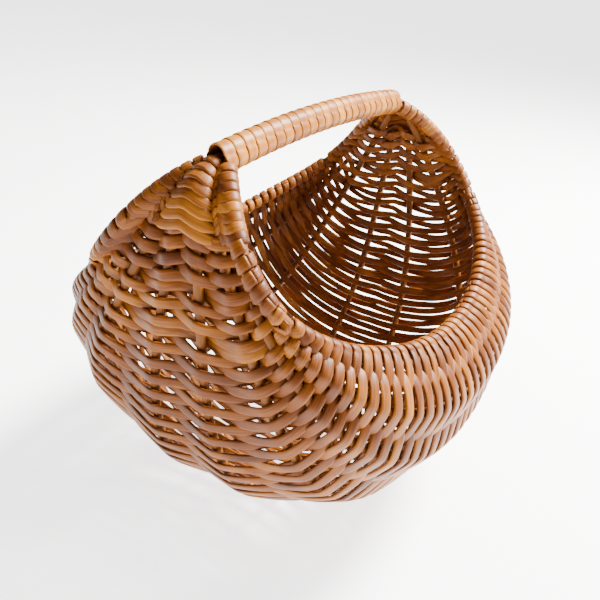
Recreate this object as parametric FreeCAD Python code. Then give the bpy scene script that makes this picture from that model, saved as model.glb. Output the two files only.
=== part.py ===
import FreeCAD, Part
import math
import os

# Egg collection basket: a rib basket woven from willow.
# Millimetres, +Z up. The origin is on the floor under the middle of the basket.
# The carrying handle runs along X. The two halves of the mouth open to -Y and +Y.

os.makedirs("parts", exist_ok=True)

V = FreeCAD.Vector

# ---- driving dimensions -------------------------------------------------
HOOP_RADIUS = 3.7        # the two bent hoops: rim below, handle above
RIB_RADIUS = 2.8         # round rods under the weave
LAPPING = 1.9            # thickness of a strand where it turns round a hoop
SPLINT = 1.2             # thickness of the splint wound round the handle
WALL_OUT = 5.0           # weave thickness outside the rib centres
WALL_IN = 3.0            # weave thickness inside the rib centres
GAP = 0.35               # clearance between neighbouring pieces
HANDLE_END_X = 112.0      # half the handle's span
HANDLE_END_Z = 256.0     # height of the handle's ends
HANDLE_RISE = 6.0       # arch of the handle above its ends
WRAP_TURNS = 24          # turns of splint round the handle
RIM_MARGIN = 0.15        # share across beside the rim that uses a steady normal
EAR_END = 0.95           # where the ear's weaving stops

# Edges of the bands of weaving, from mid length to the ear, as shares of the half rim.
# The last three follow the ends of the outer, flank and keel ribs.
BAND_EDGES = [0, 0.12, 0.24, 0.36, 0.48, 0.59, 0.67, 0.82]

# A quarter of the bowl's surface, with x and y positive. The rim and the keel line are
# Bezier curves from mid length (x = 0) to the handle's end. The wall leaves the rim in
# the direction of the swell and reaches the keel line along the spread. Both of these
# change along the bowl, and are Bezier curves too.
RIM_LINE = [(0, 111, 149), (80, 111, 149), (124, 92, 182), (156, 58, 174), (157, 45, 231), (112, 7, 255)]
KEEL_LINE = [(0, 0, 4), (130, 0, 4), (199, 0, 94), (101, 0, 214), (166, 0, 241), (113, 0, 256)]
RIM_SWELL = [(0, 58, -11), (89, 58, -11), (-54, -62, 30), (0, -2, -2)]
KEEL_SPREAD = [(0, 124, 0), (0, 124, 0), (0, 38, -33), (0, 6, 0)]

# Ribs: place across the bowl (0 at the rim, 1 at the keel line) at mid length and
# at the handle's end, and how far each reaches towards the handle's ends. The belly
# ribs are the main pair, and run up into the ears. The rest were pushed in later.
RIBS = [
    ("outer", 0.26, 0.26, 0.585),
    ("flank", 0.43, 0.46, 0.665),
    ("belly", 0.645, 0.80, 0.95),
    ("keel", 0.915, 0.96, 0.815),
]


# ---- the bowl's surface -------------------------------------------------
def blend(share, degree):
    """Bernstein weights of one Bezier curve."""
    return [math.comb(degree, i) * share**i * (1 - share)**(degree - i) for i in range(degree + 1)]


def along(points, share):
    """Point of a Bezier curve given by its control points."""
    total = V(0, 0, 0)
    for weight, point in zip(blend(share, len(points) - 1), points):
        total = total + V(*point) * weight
    return total


def bowl(t, w):
    """Point of the bowl: t from -1 to 1 along it, w from 0 (rim at -Y) to 2 (rim at +Y)."""
    near = w <= 1.0
    share = abs(t)
    rim = along(RIM_LINE, share)
    keel = along(KEEL_LINE, share)
    section = [rim, rim + along(RIM_SWELL, share), keel + along(KEEL_SPREAD, share), keel]
    point = along(section, w if near else 2.0 - w)
    return V(math.copysign(point.x, t), -point.y if near else point.y, point.z)


def slopes(t, w):
    """Change of the bowl's point per unit of t and of w."""
    step = 1e-4
    lengthwise = (bowl(t + step, w) - bowl(t - step, w)) * (0.5 / step)
    w_low = max(w - step, 0.0)
    w_high = min(w + step, 2.0)
    across = (bowl(t, w_high) - bowl(t, w_low)) * (1.0 / (w_high - w_low))
    return lengthwise, across


def outward(t, w):
    """Normal of the bowl. Beside the rim it is taken a little way in, where it is steady."""
    lengthwise, across = slopes(t, min(max(w, RIM_MARGIN), 2.0 - RIM_MARGIN))
    normal = across.cross(lengthwise)
    normal.normalize()
    return normal


def skin(t, w, offset):
    """Point on the weave, offset outwards from the rib centres."""
    return bowl(t, w) + outward(t, w) * offset


def rib_place(w_middle, w_end, t):
    """Place across the bowl of a rib that drifts towards the keel line at its ends."""
    return w_middle + (w_end - w_middle) * abs(t)**6


# ---- rods ---------------------------------------------------------------
def bezier(points):
    curve = Part.BezierCurve()
    curve.setPoles([V(p) for p in points])
    return curve


def mirrored(points, x_sign, y_sign):
    return [V(x * x_sign, y * y_sign, z) for x, y, z in points]


def rim_curve(x_sign, y_sign, start, end):
    """Part of one half of the rim, between two shares of its length."""
    curve = bezier(mirrored(RIM_LINE, x_sign, y_sign))
    curve.segment(start, end)
    return curve


def rod(edges, radius):
    """Round rod along a chain of edges that meet smoothly."""
    path = Part.Wire(Part.__sortEdges__(edges))
    first = path.OrderedEdges[0]
    at_start = path.OrderedVertexes[0].Point
    parameter = first.FirstParameter
    if (first.valueAt(parameter) - at_start).Length > 0.01:
        parameter = first.LastParameter
    circle = Part.Circle(at_start, first.tangentAt(parameter), radius)
    profile = Part.Wire([circle.toShape()])
    return path.makePipeShell([profile], True, False)


def make_rib(w_middle, w_end, reach, y_sign):
    points = []
    for i in range(-10, 11):
        t = reach * i / 10
        point = bowl(t, rib_place(w_middle, w_end, t))
        points.append(V(point.x, -point.y * y_sign, point.z))
    curve = Part.BSplineCurve()
    curve.interpolate(points)
    return rod([curve.toShape()], RIB_RADIUS)


def handle_point(x, y, drop=0.0):
    """Point of the handle's arch, a circle through its two ends and its crown."""
    radius = (HANDLE_END_X**2 + HANDLE_RISE**2) / (2 * HANDLE_RISE)
    centre_z = HANDLE_END_Z + HANDLE_RISE - radius
    return V(x, y, centre_z + math.sqrt(radius**2 - x**2) - drop)


def make_hoop(y_sign):
    """One bent hoop: the rim on one side, then up and along the handle to a butt joint."""
    reach = 0.93
    start_x = HANDLE_END_X - 10
    beside = y_sign * (HOOP_RADIUS + GAP / 2)
    edges = []
    for x_sign in (-1, 1):
        curve = rim_curve(x_sign, y_sign, 0.0, reach)
        edges.append(curve.toShape())
        leave = curve.value(1.0)
        direction = curve.tangent(1.0)[0]
        arrive = handle_point(x_sign * start_x, beside)
        inner = handle_point(x_sign * (start_x + 1), beside) - arrive
        inner.normalize()
        corner = bezier([leave, leave + direction * 10, arrive + inner * 10, arrive])
        edges.append(corner.toShape())
        middle = handle_point(x_sign * start_x / 2, beside)
        crown = handle_point(x_sign * 0.15, beside)
        edges.append(Part.Arc(arrive, middle, crown).toShape())
    return rod(edges, HOOP_RADIUS)


def core_rise():
    """Height of the filler rod above the two hoops: the three rods lie close together."""
    return (2 * HOOP_RADIUS + GAP) * math.sqrt(3) / 2


def make_core():
    """Filler rod that lies in the groove on top of the two hoops, inside the wrapping."""
    ends = [handle_point(s * (HANDLE_END_X - 8), 0, -core_rise()) for s in (-1, 1)]
    arc = Part.Arc(ends[0], handle_point(0, 0, -core_rise()), ends[1])
    return rod([arc.toShape()], HOOP_RADIUS)


def round_triangle(radius, length):
    """Bar along Z with the outline of a cord pulled round the three rods of the handle."""
    half_base = HOOP_RADIUS + GAP / 2
    corners = [V(-half_base, 0, 0), V(half_base, 0, 0), V(0, core_rise(), 0), V(-half_base, 0, 0)]
    outline = Part.makePolygon(corners).makeOffset2D(radius)
    bar = Part.Face(outline).extrude(V(0, 0, length))
    bar.translate(V(0, 0, -length / 2))
    return bar


def handle_ring(x0, x1):
    """One turn of the handle's wrapping, pulled tight round the three rods."""
    centre = handle_point((x0 + x1) / 2, 0)
    axis = handle_point(x1, 0) - handle_point(x0, 0)
    length = axis.Length - GAP
    axis.normalize()
    inner_radius = HOOP_RADIUS + GAP / 2
    ring = round_triangle(inner_radius + SPLINT, length).cut(round_triangle(inner_radius, length + 1))
    ring = ring.Solids[0]
    turn = FreeCAD.Rotation(V(0, 1, 0), V(0, 0, 1), axis, "ZXY")
    ring.Placement = FreeCAD.Placement(centre, turn)
    return ring


def make_handle_wrap():
    reach = HANDLE_END_X - 1
    width = 2 * reach / WRAP_TURNS
    return [handle_ring(-reach + i * width, -reach + (i + 1) * width) for i in range(WRAP_TURNS)]


# ---- weaving ------------------------------------------------------------
def smooth_face(grid):
    surface = Part.BSplineSurface()
    surface.interpolate(grid)
    return surface


def side_face(outer_curve, inner_curve):
    return Part.makeRuledSurface(outer_curve.toShape(), inner_curve.toShape())


def thick_patch(stations, offset_out, offset_in):
    """Solid patch of weave. Each station is one place along and its two places across."""
    skins = []
    for offset in (offset_out, -offset_in):
        grid = []
        for t, w0, w1 in stations:
            grid.append([skin(t, w0 + (w1 - w0) * i / 3, offset) for i in range(4)])
        skins.append(smooth_face(grid))
    faces = [surface.toShape() for surface in skins]
    for place in (0, 1):
        faces.append(side_face(skins[0].uIso(place), skins[1].uIso(place)))
        faces.append(side_face(skins[0].vIso(place), skins[1].vIso(place)))
    shell = Part.makeShell(faces)
    shell.sewShape()
    return Part.makeSolid(shell)


def step_across(t, w, distance):
    """Place reached from w by going a distance in millimetres across the bowl."""
    here = min(max(w, 0.0), 2.0)
    return here + distance / slopes(t, here)[1].Length


def supports_at(t):
    """Hoops and ribs that pass t: place at mid length and at the end, half width."""
    found = [(0.0, 0.0, HOOP_RADIUS + LAPPING)]
    for name, w_middle, w_end, reach in RIBS:
        if abs(t) < reach:
            found.append((w_middle, w_end, RIB_RADIUS))
    found = found + [(2.0 - w_middle, 2.0 - w_end, half) for w_middle, w_end, half in reversed(found)]
    return found


def wall_panels(t0, t1):
    """Panels of weaving between neighbouring ribs, from t0 to t1 along the bowl."""
    supports = supports_at((t0 + t1) / 2)
    shrink = 0.5 * GAP / slopes((t0 + t1) / 2, 1.0)[0].Length
    start_t = t0 + shrink
    span = t1 - t0 - 2 * shrink
    panels = []
    for (middle0, end0, half0), (middle1, end1, half1) in zip(supports[:-1], supports[1:]):
        stations = []
        for i in range(4):
            t = start_t + span * i / 3
            w0 = step_across(t, rib_place(middle0, end0, t), half0 + GAP)
            w1 = step_across(t, rib_place(middle1, end1, t), -(half1 + GAP))
            stations.append((t, w0, w1))
        panels.append(thick_patch(stations, WALL_OUT, WALL_IN))
    return panels


def rim_sleeves(t0, t1):
    """The band's strands where they turn round each hoop."""
    shrink = 0.5 * GAP / slopes((t0 + t1) / 2, 0.0)[0].Length
    low, high = sorted((abs(t0), abs(t1)))
    x_sign = 1 if t0 + t1 > 0 else -1
    sleeves = []
    for y_sign in (-1, 1):
        edge = rim_curve(x_sign, y_sign, low + shrink, high - shrink).toShape()
        outer = rod([edge], HOOP_RADIUS + LAPPING)
        sleeves.append(outer.cut(rod([edge], HOOP_RADIUS + 0.05)).Solids[0])
    return sleeves


FLOOR_CUTTER = Part.makeBox(600, 600, 50, V(-300, -300, -50))


def flattened(solid):
    """The underside is worn flat where it stands on the floor."""
    if solid.BoundBox.ZMin >= 0:
        return solid
    return solid.cut(FLOOR_CUTTER).Solids[0]


def weave_piece(t0, t1):
    solids = [flattened(panel) for panel in wall_panels(t0, t1)]
    return solids + rim_sleeves(t0, t1)


# ---- export -------------------------------------------------------------
def export(name, solids):
    for solid in solids:
        if solid.Volume < 0:
            solid.reverse()
    shape = solids[0] if len(solids) == 1 else Part.makeCompound(solids)
    shape.exportStep("parts/" + name + ".step")
    volume = sum(solid.Volume for solid in solids)
    valid = all(solid.isValid() for solid in solids)
    print(name, len(solids), "solids", round(volume), "mm3", "valid" if valid else "NOT VALID")


export("hoop_near", [make_hoop(-1)])
export("hoop_far", [make_hoop(1)])
export("handle_core", [make_core()])
export("handle_wrap", make_handle_wrap())
for rib_name, place_middle, place_end, rib_reach in RIBS:
    export("rib_" + rib_name + "_near", [make_rib(place_middle, place_end, rib_reach, -1)])
    export("rib_" + rib_name + "_far", [make_rib(place_middle, place_end, rib_reach, 1)])
edges = [-t for t in reversed(BAND_EDGES[1:])] + BAND_EDGES
for index in range(len(edges) - 1):
    export("weave_band_%02d" % (index + 1), weave_piece(edges[index], edges[index + 1]))
export("ear_left", weave_piece(-EAR_END, -BAND_EDGES[-1]))
export("ear_right", weave_piece(BAND_EDGES[-1], EAR_END))
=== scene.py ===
import math
import random

import bpy
import numpy as np
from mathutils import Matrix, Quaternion, Vector


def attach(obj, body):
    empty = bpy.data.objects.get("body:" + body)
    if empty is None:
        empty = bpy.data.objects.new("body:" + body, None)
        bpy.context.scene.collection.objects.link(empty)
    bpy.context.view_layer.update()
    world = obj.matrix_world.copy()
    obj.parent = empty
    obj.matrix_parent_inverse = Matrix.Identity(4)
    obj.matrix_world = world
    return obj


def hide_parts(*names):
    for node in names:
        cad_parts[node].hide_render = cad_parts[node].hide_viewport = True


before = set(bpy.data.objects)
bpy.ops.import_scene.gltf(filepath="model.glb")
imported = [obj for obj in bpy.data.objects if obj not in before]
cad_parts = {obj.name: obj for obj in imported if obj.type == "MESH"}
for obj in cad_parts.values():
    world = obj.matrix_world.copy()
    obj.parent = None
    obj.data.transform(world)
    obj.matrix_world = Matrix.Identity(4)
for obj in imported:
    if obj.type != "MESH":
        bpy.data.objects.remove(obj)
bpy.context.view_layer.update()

# Egg basket in woven willow. The shape is the CAD's own formula, in millimetres here and
# scaled to metres when a mesh is made.
MM = 0.001
HOOP = 3.7               # radius of the hoop rods
RIB = 2.8                # radius of the ribs
STRAND = 2.1             # thickness of a weaving strand
SETTLE = 0.95            # how far the lowest strands are pressed down to the floor
GAP = 0.35               # between the two hoops in the handle
HANDLE_END_X = 112.0
HANDLE_END_Z = 256.0
HANDLE_RISE = 6.0
WRAP_TURNS = 24
RIM_MARGIN = 0.15        # share across beside the rim that uses a steady normal
RIM_LINE = [
    (0, 111, 149), (80, 111, 149), (124, 92, 182),
    (156, 58, 174), (157, 45, 231), (112, 7, 255),
]
KEEL_LINE = [
    (0, 0, 4), (130, 0, 4), (199, 0, 94),
    (101, 0, 214), (166, 0, 241), (113, 0, 256),
]
RIM_SWELL = [(0, 58, -11), (89, 58, -11), (-54, -62, 30), (0, -2, -2)]
KEEL_SPREAD = [(0, 124, 0), (0, 124, 0), (0, 38, -33), (0, 6, 0)]
RIBS = [
    ("outer", 0.26, 0.26, 0.585),
    ("flank", 0.43, 0.46, 0.665),
    ("belly", 0.645, 0.80, 0.95),
    ("keel", 0.915, 0.96, 0.815),
]
BAND_EDGES = [0, 0.12, 0.24, 0.36, 0.48, 0.59, 0.67, 0.82]

# Spacing of the courses along the rim, in millimetres
PITCH_MIDDLE = 4.0
PITCH_DROP = 0.9         # closer from the quarters on
PITCH_RISE = 1.1         # and wider again at the ears

# The ears, as shares of the half rim
EAR_START = 0.835
EAR_END = 0.99
EAR_WRAPS = 8            # strands round each hoop
LENS_START = 0.80        # strands between the belly ribs, on top
LENS_END = 0.995
LENS_COUNT = 8
LENS_HEIGHTS = [1.0, 4.4, 5.2, 5.4, 5.2, 4.4, 1.0]
SIDE_HEIGHTS = [5.0, 5.2, 4.6, 4.2, 3.2, 0.5]

rng = random.Random(11)


# ---- the bowl's surface ----------------------------------------------------
def along(points, share):
    share = np.asarray(share, float)
    degree = len(points) - 1
    total = np.zeros(share.shape + (3,))
    for i, point in enumerate(points):
        weight = math.comb(degree, i) * share**i * (1 - share) ** (degree - i)
        total += weight[..., None] * np.array(point, float)
    return total


def bowl(t, w):
    t, w = np.broadcast_arrays(np.asarray(t, float), np.asarray(w, float))
    share = np.clip(np.abs(t), 0, 1)
    near = w <= 1.0
    place = np.where(near, w, 2.0 - w)
    rim = along(RIM_LINE, share)
    keel = along(KEEL_LINE, share)
    section = [rim, rim + along(RIM_SWELL, share), keel + along(KEEL_SPREAD, share), keel]
    point = np.zeros(t.shape + (3,))
    for i, corner in enumerate(section):
        point += (math.comb(3, i) * place**i * (1 - place) ** (3 - i))[..., None] * corner
    point[..., 0] *= np.where(t < 0, -1, 1)
    point[..., 1] *= np.where(near, -1, 1)
    return point


def unit(v):
    return v / np.maximum(np.linalg.norm(v, axis=-1, keepdims=True), 1e-9)


def outward(t, w):
    w = np.clip(w, RIM_MARGIN, 2.0 - RIM_MARGIN)
    step = 1e-3
    lengthwise = bowl(np.asarray(t) + step, w) - bowl(np.asarray(t) - step, w)
    across = bowl(t, w + step) - bowl(t, w - step)
    return unit(np.cross(across, lengthwise))


def rib_place(middle, end, t):
    return middle + (end - middle) * abs(t) ** 6


def handle_point(x, y, drop=0.0):
    radius = (HANDLE_END_X**2 + HANDLE_RISE**2) / (2 * HANDLE_RISE)
    x = np.asarray(x, float)
    z = HANDLE_END_Z + HANDLE_RISE - radius + np.sqrt(radius**2 - x**2) - drop
    return np.stack([x, np.full_like(x, y), z], -1)


# ---- meshes ----------------------------------------------------------------
class Piece:
    """Collects closed tubes and makes one mesh of them."""

    def __init__(self, name):
        self.name = name
        self.points, self.faces, self.sharp, self.local, self.tone = [], [], [], [], []
        self.count = 0

    def add(self, rings, local, tone):
        n, sides = rings.shape[:2]
        base = self.count
        i = np.arange(n - 1)[:, None] * sides
        j = np.arange(sides)[None, :]
        k = (j + 1) % sides
        quads = np.stack([i + j, i + k, i + sides + k, i + sides + j], -1).reshape(-1, 4) + base
        self.faces.extend(quads.tolist())
        self.faces.append(list(range(base, base + sides))[::-1])
        self.faces.append(list(range(base + (n - 1) * sides, base + n * sides)))
        self.points.append(rings.reshape(-1, 3))
        self.local.append(local.reshape(-1, 3))
        spread = np.broadcast_to(np.asarray(tone, float)[..., None], (n, sides))
        self.tone.append(spread.reshape(-1))
        self.count += n * sides

    def make(self, material, replaced):
        mesh = bpy.data.meshes.new(self.name)
        points = np.concatenate(self.points)
        points[:, 2] = np.maximum(points[:, 2], 0.05)
        mesh.from_pydata((points * MM).tolist(), [], self.faces)
        mesh.shade_smooth()
        layer = mesh.attributes.new("grain", "FLOAT_VECTOR", "POINT")
        layer.data.foreach_set("vector", np.concatenate(self.local).astype(np.float32).ravel())
        layer = mesh.attributes.new("tone", "FLOAT", "POINT")
        layer.data.foreach_set("value", np.concatenate(self.tone).astype(np.float32))
        mesh.materials.append(material)
        piece = bpy.data.objects.new(self.name, mesh)
        bpy.context.scene.collection.objects.link(piece)
        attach(piece, "root")
        if replaced:
            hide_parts(*replaced)
        return piece


def sweep(piece, line, up, width, thick, tone, sides=12, squareness=0.5):
    """Closed tube with a flat oval section. Width lies across the line, thickness along up."""
    n = len(line)
    tangent = unit(np.gradient(line, axis=0))
    side = unit(np.cross(tangent, up))
    up = np.cross(side, tangent)
    width = np.broadcast_to(np.asarray(width, float), (n,))
    thick = np.broadcast_to(np.asarray(thick, float), (n,))
    tone = np.broadcast_to(np.asarray(tone, float), (n,))
    angle = 2 * math.pi * (np.arange(sides) + 0.5) / sides
    across = np.sign(np.cos(angle)) * np.abs(np.cos(angle)) ** squareness
    deep = np.sign(np.sin(angle)) * np.abs(np.sin(angle)) ** 0.9
    x = across[None, :] * width[:, None] / 2
    y = deep[None, :] * thick[:, None] / 2
    rings = line[:, None, :] + side[:, None, :] * x[..., None] + up[:, None, :] * y[..., None]
    length = np.concatenate([[0], np.cumsum(np.linalg.norm(np.diff(line, axis=0), axis=1))])
    local = np.stack([np.broadcast_to(length[:, None], x.shape), x, y], -1)
    local = local + np.array([rng.uniform(0, 900), rng.uniform(0, 90), rng.uniform(0, 90)])
    piece.add(rings, local, tone)


def smooth(values, passes):
    values = values.copy()
    for _ in range(passes):
        values[1:-1] = (values[:-2] + 2 * values[1:-1] + values[2:]) / 4
    return values


def wander(n, size, spacing):
    """Slow random drift along a line of n points."""
    knots = [rng.gauss(0, size) for _ in range(int(n / spacing) + 4)]
    return np.interp(np.arange(n) / spacing, np.arange(len(knots)), knots)


def fade_ends(n, count, smallest):
    """Factor that tapers a strand to its ends."""
    place = np.minimum(np.arange(n), np.arange(n)[::-1]) / count
    return np.clip(smallest + (1 - smallest) * np.sqrt(np.clip(place, 0, 1)), smallest, 1)


# ---- weaving ---------------------------------------------------------------
def course_places():
    """Places of the courses along the bowl, evenly spaced along the rim and wider at the ears."""
    fine = np.linspace(0, BAND_EDGES[-1], 800)
    rim = bowl(fine, np.zeros_like(fine))
    steps = np.linalg.norm(np.diff(rim, axis=0), axis=1)
    drop = PITCH_DROP * np.clip((fine[1:] - 0.28) / 0.17, 0, 1)
    rise = PITCH_RISE * np.clip((fine[1:] - 0.6) / 0.22, 0, 1)
    pitch = PITCH_MIDDLE - drop + rise
    total = np.concatenate([[0], np.cumsum(steps / pitch)])
    count = int(total[-1])
    half = np.interp((np.arange(count) + 0.5) * total[-1] / count, total, fine)
    return np.concatenate([-half[::-1], half])


def supports(t):
    ribs = [rib_place(middle, end, t) for _, middle, end, reach in RIBS if abs(t) < reach]
    return [0.0] + ribs + [2.0 - w for w in reversed(ribs)] + [2.0]


def strand_width(t):
    """Width of the strands in millimetres. The left half has the wider ones."""
    left = np.clip((-t - 0.25) / 0.2, 0, 1)
    quarter = np.clip(abs(t) / 0.5, 0, 1)
    ear = np.clip((abs(t) - 0.6) / 0.22, 0, 1)
    return 6.4 - 0.4 * quarter + 0.4 * left + 0.7 * ear


def rim_turn(t, y_sign, angle, radius):
    """Points round the hoop: angle 180 is its top, 90 its outside and 270 its inside."""
    w_rim = 0.0 if y_sign < 0 else 2.0
    w_in = 0.05 if y_sign < 0 else 1.95
    centre = bowl(t, np.full_like(t, w_rim))
    tangent = unit(bowl(t + 1e-3, np.full_like(t, w_rim)) - bowl(t - 1e-3, np.full_like(t, w_rim)))
    out = outward(t, np.full_like(t, w_rim))
    out = unit(out - tangent * (out * tangent).sum(-1, keepdims=True))
    wall = np.cross(tangent, out)
    wall = wall * np.sign(((bowl(t, np.full_like(t, w_in)) - centre) * wall).sum(-1, keepdims=True))
    ray = np.cos(angle)[:, None] * wall + np.sin(angle)[:, None] * out
    return centre + ray * radius, ray


def course_line(index, places):
    """One pass of a strand from the top of the near hoop to the top of the far hoop."""
    t = places[index]
    out_first = 1 if index % 2 == 0 else -1
    partner_near = index - 1 if index % 2 == 0 else index + 1
    partner_far = index + 1 if index % 2 == 0 else index - 1
    spots = supports(t)
    grid = np.linspace(0, 2, 401)
    surface = bowl(t, grid)
    length = np.concatenate([[0], np.cumsum(np.linalg.norm(np.diff(surface, axis=0), axis=1))])
    stops = np.interp(spots, grid, length)
    turn_radius = HOOP + STRAND / 2 + 0.15
    height = RIB + STRAND / 2 + 0.9
    offsets = [out_first * turn_radius * 0.96]
    for i in range(1, len(spots) - 1):
        offsets.append(out_first * (-1) ** i * height)
    offsets.append(-out_first * turn_radius * 0.96)
    count = int(length[-1] / 1.7)
    s = np.linspace(0, length[-1], count)
    offset = smooth(np.interp(s, stops, offsets), 1)
    between = np.interp(s, stops, np.arange(len(stops)))
    crossing = np.sin(math.pi * between) ** 2
    lean = math.radians(14) * crossing ** 2
    w = np.interp(s, length, grid)
    normal = outward(np.full_like(w, t), w)
    wobble = wander(count, 0.25, 9)
    tangent = unit(np.gradient(bowl(t, w), axis=0))
    side = np.cross(tangent, normal)
    line = bowl(t, w) + normal * offset[:, None] + side * wobble[:, None]
    line[:, 2] -= SETTLE * np.clip(1 - line[:, 2] / 14, 0, 1)
    up = normal * np.cos(lean)[:, None] + side * np.sin(lean)[:, None]
    parts, ups = [line], [up]
    squeeze = [crossing]
    for y_sign, partner, out in ((-1, partner_near, out_first), (1, partner_far, -out_first)):
        if 0 <= partner < len(places):
            meet = (t + places[partner]) / 2
        else:
            meet = t + (t - places[1 if index == 0 else -2]) / 2
        share = np.linspace(0, 1, 7)[:-1]
        angle = np.radians(180 - out * 90 * share)
        ring, ray = rim_turn(meet + (t - meet) * share**1.5, y_sign, angle, turn_radius)
        if y_sign < 0:
            parts.insert(0, ring)
            ups.insert(0, ray * out)
            squeeze.insert(0, np.zeros(len(share)))
        else:
            parts.append(ring[::-1])
            ups.append(ray[::-1] * out)
            squeeze.append(np.zeros(len(share)))
    return np.concatenate(parts), np.concatenate(ups), np.concatenate(squeeze)


def chain(lines):
    """Joins passes that meet at the hoops into one long strand."""
    line, up, squeeze = lines[0]
    for next_line, next_up, next_squeeze in lines[1:]:
        if (up[-1] * next_up[0]).sum() < 0:
            next_up = -next_up
        line = np.concatenate([line, next_line[1:]])
        up = np.concatenate([up, next_up[1:]])
        squeeze = np.concatenate([squeeze, next_squeeze[1:]])
    return smooth(line, 1), unit(up), squeeze


def weave(piece, places, members):
    """Weaves the given courses with strands of two to four passes each."""
    waiting = list(members)
    while waiting:
        take = min(len(waiting), rng.choice([2, 2, 3, 4]))
        if len(waiting) - take == 1:
            take += 1
        group, waiting = waiting[:take], waiting[take:]
        lines = []
        for index in group:
            line, up, squeeze = course_line(index, places)
            if index % 2:
                line, up, squeeze = line[::-1], up[::-1], squeeze[::-1]
            lines.append((line, up, squeeze))
        line, up, squeeze = chain(lines)
        n = len(line)
        t = abs(places[group[0]])
        base = strand_width(places[group[0]]) * rng.uniform(0.92, 1.08)
        taper = np.linspace(1.05, 0.95, n) if rng.random() < 0.5 else np.linspace(0.95, 1.05, n)
        pinch = 0.04 + (0.20 if places[group[0]] > 0 else 0.0) * min(max((t - 0.42) / 0.15, 0), 1)
        width = base * taper * (1 + wander(n, 0.03, 12)) * (1 - pinch * squeeze)
        thick = STRAND * (1 + wander(n, 0.04, 12)) * (1 + 0.12 * squeeze)
        tone = min(max(rng.gauss(0.5, 0.09), 0.15), 0.85) + wander(n, 0.08, 9)
        sweep(piece, line, up, width, thick, tone)


# ---- ears ------------------------------------------------------------------
def ear_line(t_start, t_end, w_start, w_end, offsets, count=26):
    share = np.linspace(0, 1, count)
    t = t_start + (t_end - t_start) * share
    w = w_start + (w_end - w_start) * share
    normal = outward(t, w)
    offset = smooth(np.interp(share, np.linspace(0, 1, len(offsets)), offsets), 3)
    return bowl(t, w) + normal * offset[:, None], normal


def make_ear(piece, x_sign):
    """Strands from each hoop to the belly rib, and strands on top between the belly ribs."""
    places = np.linspace(EAR_START, EAR_END, EAR_WRAPS)
    step = places[1] - places[0]
    for t0 in places:
        t0 = min(t0, EAR_END) * x_sign
        lean = step * x_sign
        for y_sign in (-1, 1):
            belly = rib_place(0.645, 0.80, t0)
            belly = belly if y_sign < 0 else 2 - belly
            rim_w = 0.0 if y_sign < 0 else 2.0
            inner = belly + (0.05 if y_sign < 0 else -0.05)
            start = t0 - lean * 2.2
            line, up = ear_line(t0, start, rim_w, inner, SIDE_HEIGHTS)
            share = np.linspace(0, 1, 12)[:-1]
            angle = np.radians(300 - 210 * share)
            ring, ray = rim_turn(np.full(11, t0) + lean * 0.35 * (1 - share), y_sign, angle, 5.0)
            path = smooth(np.concatenate([ring, line]), 2)
            ups = unit(np.concatenate([ray, up]))
            n = len(path)
            shape = np.interp(np.arange(n) / n, [0, 0.45, 0.8, 1], [1, 1, 0.95, 0.6])
            width = 6.3 * rng.uniform(0.95, 1.08) * shape
            tone = min(max(rng.gauss(0.5, 0.16), 0), 1)
            sweep(piece, path, ups, width, STRAND, tone)
    for t1 in np.linspace(LENS_START, LENS_END, LENS_COUNT) * x_sign:
        belly = rib_place(0.645, 0.80, t1)
        far = 2 - belly + 0.035
        near = belly - 0.035
        line, up = ear_line(t1 + lean * 0.2, t1 - lean * 0.2, far, near, LENS_HEIGHTS, 30)
        side = np.cross(unit(np.gradient(line, axis=0)), up)
        up = unit(up + 0.22 * x_sign * side)
        n = len(line)
        shape = np.interp(np.arange(n) / n, [0, 0.25, 0.75, 1], [0.45, 1, 1, 0.45])
        width = 6.6 * rng.uniform(0.95, 1.05) * shape
        sweep(piece, line, up, width, STRAND * 1.1, min(max(rng.gauss(0.55, 0.16), 0), 1))


# ---- rods ------------------------------------------------------------------
def round_rod(piece, line, radius, tone, pointed=True, sides=12):
    n = len(line)
    tangent = unit(np.gradient(line, axis=0))
    up = unit(np.cross(tangent, np.array([0.31, 0.2, 0.93])))
    size = radius * (1 + wander(n, 0.03, 6))
    if pointed:
        size = size * fade_ends(n, 7, 0.35)
    sweep(piece, line, up, 2 * size, 2 * size, tone, sides, 1.0)


def rib_line(middle, end, reach, far):
    t = np.linspace(-reach, reach, 150)
    w = middle + (end - middle) * np.abs(t) ** 6
    return bowl(t, 2 - w if far else w)


def bezier(points, count):
    return along(points, np.linspace(0, 1, count))


def hoop_line(y_sign):
    """The rim, a corner at each end and the run along the handle, as in the CAD."""
    reach = 0.93
    start_x = HANDLE_END_X - 10
    beside = y_sign * (HOOP + GAP / 2)
    share = np.linspace(-reach, reach, 160)
    w = np.full_like(share, 0.0 if y_sign < 0 else 2.0)
    rim = bowl(share, w)
    ends = []
    for x_sign in (-1, 1):
        t = np.array([x_sign * (reach - 1e-3), x_sign * reach])
        two = bowl(t, np.full(2, w[0]))
        direction = unit(two[1] - two[0])
        arrive = handle_point(x_sign * start_x, beside)
        inner = unit(handle_point(x_sign * (start_x + 1), beside) - arrive)
        corner = bezier([two[1], two[1] + direction * 10, arrive + inner * 10, arrive], 16)[1:]
        run = handle_point(np.linspace(x_sign * start_x, x_sign * 0.15, 40), beside)[1:]
        ends.append(np.concatenate([corner, run]))
    return np.concatenate([ends[0][::-1], rim, ends[1]])


def handle_section(angle, radius):
    """Outline of a splint pulled round the three rods: a rounded triangle."""
    half_base = HOOP + GAP / 2
    rise = (2 * HOOP + GAP) * math.sqrt(3) / 2
    corners = np.array([(-half_base, 0), (half_base, 0), (0, rise)])
    centre = np.array([0, rise / 3])
    ray = np.stack([np.sin(angle), np.cos(angle)], -1)
    reach = ((corners - centre)[None] * ray[:, None]).sum(-1).max(-1)
    return centre + ray * (reach[:, None] * 0.62 + radius), ray


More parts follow.
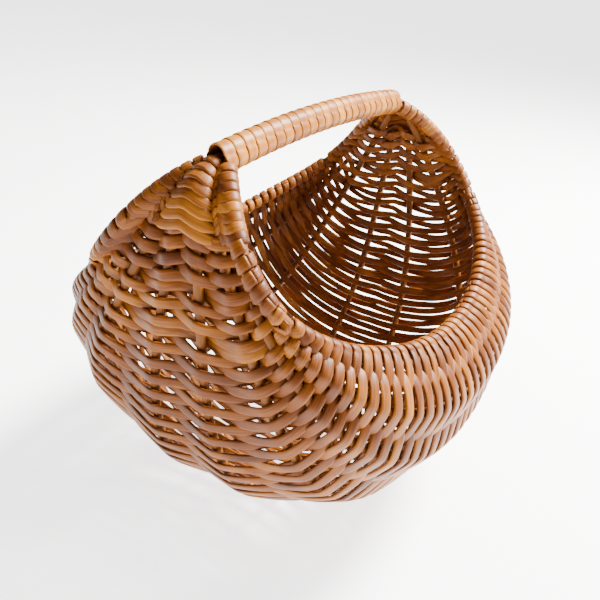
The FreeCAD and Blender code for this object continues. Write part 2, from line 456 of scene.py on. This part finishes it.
def make_handle_wrap(piece):
    """Separate turns of flat splint, each pulled round the three rods at a slight slant."""
    reach = HANDLE_END_X - 1
    pitch = 2 * reach / WRAP_TURNS
    count = 44
    for k in range(WRAP_TURNS):
        share = np.linspace(0, 1, count)
        angle = -math.pi * 0.97 + 2 * math.pi * share
        slant = 0.15 * np.sin(angle) + 0.10 * (share - 0.5)
        x = -reach + pitch * (k + 0.5) + pitch * slant
        ring, ray = handle_section(angle, HOOP + 2.0)
        line = handle_point(x, 0)
        arch = unit(handle_point(x + 1, 0) - handle_point(x - 1, 0))
        rise = np.cross(arch, np.array([0.0, 1.0, 0.0])) * -1
        rise = rise * np.sign(rise[:, 2:3])
        line = line + ring[:, 1:2] * rise
        line[:, 1] += ring[:, 0]
        up = ray[:, 1:2] * rise
        up[:, 1] += ray[:, 0]
        lean = math.radians(3)
        side = np.cross(unit(np.gradient(line, axis=0)), up)
        up = unit(up * math.cos(lean) + side * math.sin(lean))
        width = pitch * rng.uniform(0.98, 1.08) * (1 + wander(count, 0.02, 9))
        tone = min(max(rng.gauss(0.62, 0.12), 0), 1)
        sweep(piece, line, up, width, 1.3, tone, 12, 0.3)


# ---- materials -------------------------------------------------------------
def willow(name, dark, mid, light, grain=1.0, rough=0.42):
    """Peeled willow: a tone for each strand, grain along it, small dark flecks, a soft gloss."""
    material = bpy.data.materials.new(name)
    material.use_nodes = True
    nodes, links = material.node_tree.nodes, material.node_tree.links
    shader = nodes["Principled BSDF"]
    local = nodes.new("ShaderNodeAttribute")
    local.attribute_name = "grain"
    tone = nodes.new("ShaderNodeAttribute")
    tone.attribute_name = "tone"

    def noise(scale, detail, stretch):
        mapping = nodes.new("ShaderNodeMapping")
        mapping.inputs["Scale"].default_value = stretch
        links.new(local.outputs["Vector"], mapping.inputs["Vector"])
        texture = nodes.new("ShaderNodeTexNoise")
        texture.inputs["Scale"].default_value = scale
        texture.inputs["Detail"].default_value = detail
        links.new(mapping.outputs["Vector"], texture.inputs["Vector"])
        return texture.outputs["Fac"]

    def math_node(kind, a, b):
        node = nodes.new("ShaderNodeMath")
        node.operation = kind
        for socket, value in zip(node.inputs, (a, b)):
            if isinstance(value, (int, float)):
                socket.default_value = value
            else:
                links.new(value, socket)
        return node.outputs[0]

    fibre = noise(1.0, 4, (0.035, 2.6, 2.6))
    blotch = noise(1.0, 2, (0.045, 0.16, 0.16))
    fleck = noise(1.0, 3, (0.22, 1.5, 1.5))
    streak = math_node("MULTIPLY", math_node("SUBTRACT", fibre, 0.5), 1.1 * grain)
    mixed = math_node("ADD", tone.outputs["Fac"], streak)
    mixed = math_node("ADD", mixed, math_node("MULTIPLY", math_node("SUBTRACT", blotch, 0.5), 0.8))
    ramp = nodes.new("ShaderNodeValToRGB")
    ramp.color_ramp.elements[0].position = 0.05
    ramp.color_ramp.elements[0].color = (*dark, 1)
    ramp.color_ramp.elements[1].position = 0.95
    ramp.color_ramp.elements[1].color = (*light, 1)
    middle = ramp.color_ramp.elements.new(0.5)
    middle.color = (*mid, 1)
    links.new(mixed, ramp.inputs["Fac"])
    marks = nodes.new("ShaderNodeValToRGB")
    marks.color_ramp.elements[0].position = 0.69
    marks.color_ramp.elements[0].color = (0, 0, 0, 1)
    marks.color_ramp.elements[1].position = 0.78
    marks.color_ramp.elements[1].color = (0.75, 0.75, 0.75, 1)
    links.new(fleck, marks.inputs["Fac"])
    blend = nodes.new("ShaderNodeMix")
    blend.data_type = "RGBA"
    links.new(marks.outputs["Color"], blend.inputs["Factor"])
    links.new(ramp.outputs["Color"], blend.inputs["A"])
    blend.inputs["B"].default_value = (dark[0] * 0.35, dark[1] * 0.3, dark[2] * 0.3, 1)
    links.new(blend.outputs["Result"], shader.inputs["Base Color"])
    gloss = nodes.new("ShaderNodeMapRange")
    gloss.inputs["From Min"].default_value = 0.3
    gloss.inputs["From Max"].default_value = 0.7
    gloss.inputs["To Min"].default_value = rough - 0.08
    gloss.inputs["To Max"].default_value = rough + 0.12
    links.new(fibre, gloss.inputs["Value"])
    links.new(gloss.outputs["Result"], shader.inputs["Roughness"])
    bump = nodes.new("ShaderNodeBump")
    bump.inputs["Strength"].default_value = 0.6
    bump.inputs["Distance"].default_value = 0.00025
    links.new(fibre, bump.inputs["Height"])
    links.new(bump.outputs["Normal"], shader.inputs["Normal"])
    shader.inputs["IOR"].default_value = 1.5
    shader.inputs["Specular IOR Level"].default_value = 0.2
    return material


STRAND_TONES = ((0.060, 0.0125, 0.0005), (0.155, 0.040, 0.0014), (0.35, 0.120, 0.008))
ROD_TONES = ((0.065, 0.017, 0.001), (0.15, 0.044, 0.003), (0.27, 0.095, 0.009))
SPLINT_TONES = ((0.10, 0.025, 0.0012), (0.24, 0.072, 0.0035), (0.42, 0.160, 0.014))

strand_willow = willow("strand_willow", *STRAND_TONES)
ear_willow = willow("ear_willow", *STRAND_TONES)
rib_willow = willow("rib_willow", *ROD_TONES, 0.8, 0.5)
hoop_willow = willow("hoop_willow", *ROD_TONES, 0.8, 0.5)
splint_willow = willow("splint_willow", *SPLINT_TONES, 1.0, 0.38)

# ---- pieces ----------------------------------------------------------------
for far in (False, True):
    side_name = "far" if far else "near"
    piece = Piece("hoop_rod_" + side_name)
    round_rod(piece, hoop_line(1 if far else -1), HOOP, 0.45, pointed=False)
    piece.make(hoop_willow, ["hoop_" + side_name])
    for name, middle, end, reach in RIBS:
        piece = Piece("rod_" + name + "_" + side_name)
        round_rod(piece, rib_line(middle, end, reach, far), RIB, rng.uniform(0.35, 0.65))
        piece.make(rib_willow, ["rib_" + name + "_" + side_name])

rise = (2 * HOOP + GAP) * math.sqrt(3) / 2
piece = Piece("filler_rod")
core = handle_point(np.linspace(-(HANDLE_END_X - 8), HANDLE_END_X - 8, 80), 0, -rise)
round_rod(piece, core, HOOP, 0.5, pointed=False)
piece.make(hoop_willow, ["handle_core"])

places = course_places()
edges = [-t for t in reversed(BAND_EDGES[1:])] + BAND_EDGES
for band in range(len(edges) - 1):
    members = [i for i, t in enumerate(places) if edges[band] <= t < edges[band + 1]]
    piece = Piece("weaving_%02d" % (band + 1))
    weave(piece, places, members)
    piece.make(strand_willow, ["weave_band_%02d" % (band + 1)])

for x_sign, name in ((-1, "left"), (1, "right")):
    piece = Piece("ear_weaving_" + name)
    make_ear(piece, x_sign)
    piece.make(ear_willow, ["ear_" + name])

piece = Piece("handle_winding")
make_handle_wrap(piece)
piece.make(splint_willow, ["handle_wrap"])


# ---- studio ----------------------------------------------------------------
def make_floor():
    mesh = bpy.data.meshes.new("floor")
    size = 60.0
    corners = [(-size, -size, 0), (size, -size, 0), (size, size, 0), (-size, size, 0)]
    mesh.from_pydata(corners, [], [(0, 1, 2, 3)])
    floor = bpy.data.objects.new("floor", mesh)
    bpy.context.scene.collection.objects.link(floor)
    material = bpy.data.materials.new("pale_floor")
    material.use_nodes = True
    shader = material.node_tree.nodes["Principled BSDF"]
    shader.inputs["Base Color"].default_value = (0.96, 0.96, 0.96, 1)
    shader.inputs["Roughness"].default_value = 0.8
    shader.inputs["Emission Color"].default_value = (1, 1, 1, 1)
    shader.inputs["Emission Strength"].default_value = 2.8
    mesh.materials.append(material)


def area_light(name, place, target, size, power, color):
    data = bpy.data.lights.new(name, "AREA")
    data.shape = "DISK"
    data.size = size
    data.energy = power
    data.color = color
    light = bpy.data.objects.new(name, data)
    light.location = place
    light.rotation_euler = (Vector(target) - Vector(place)).to_track_quat("-Z", "Y").to_euler()
    bpy.context.scene.collection.objects.link(light)


make_floor()
world = bpy.data.worlds.new("studio")
bpy.context.scene.world = world
world.use_nodes = True
background = world.node_tree.nodes["Background"]
background.inputs["Color"].default_value = (1, 1, 1, 1)
background.inputs["Strength"].default_value = 0.38
middle = (0, 0, 0.12)
area_light("key", (0.85, -0.45, 1.2), middle, 0.6, 190, (1.0, 0.97, 0.93))
area_light("front", (0.1, -1.4, 0.8), middle, 0.9, 10, (1.0, 0.98, 0.96))

camera_data = bpy.data.cameras.new("camera")
camera = bpy.data.objects.new("camera", camera_data)
bpy.context.scene.collection.objects.link(camera)
camera.location = (-0.3990, -0.2167, 0.3646)
aim = (Vector((0, 0, 0.114)) - camera.location).to_track_quat("-Z", "Y")
camera.rotation_euler = (aim @ Quaternion((0, 0, 1), math.radians(5.0))).to_euler()
camera_data.sensor_width = 36
camera_data.lens = 41.5
camera_data.shift_x = -0.0082
camera_data.shift_y = 0.0325
camera_data.clip_start = 0.01
bpy.context.scene.camera = camera

bpy.context.view_layer.update()
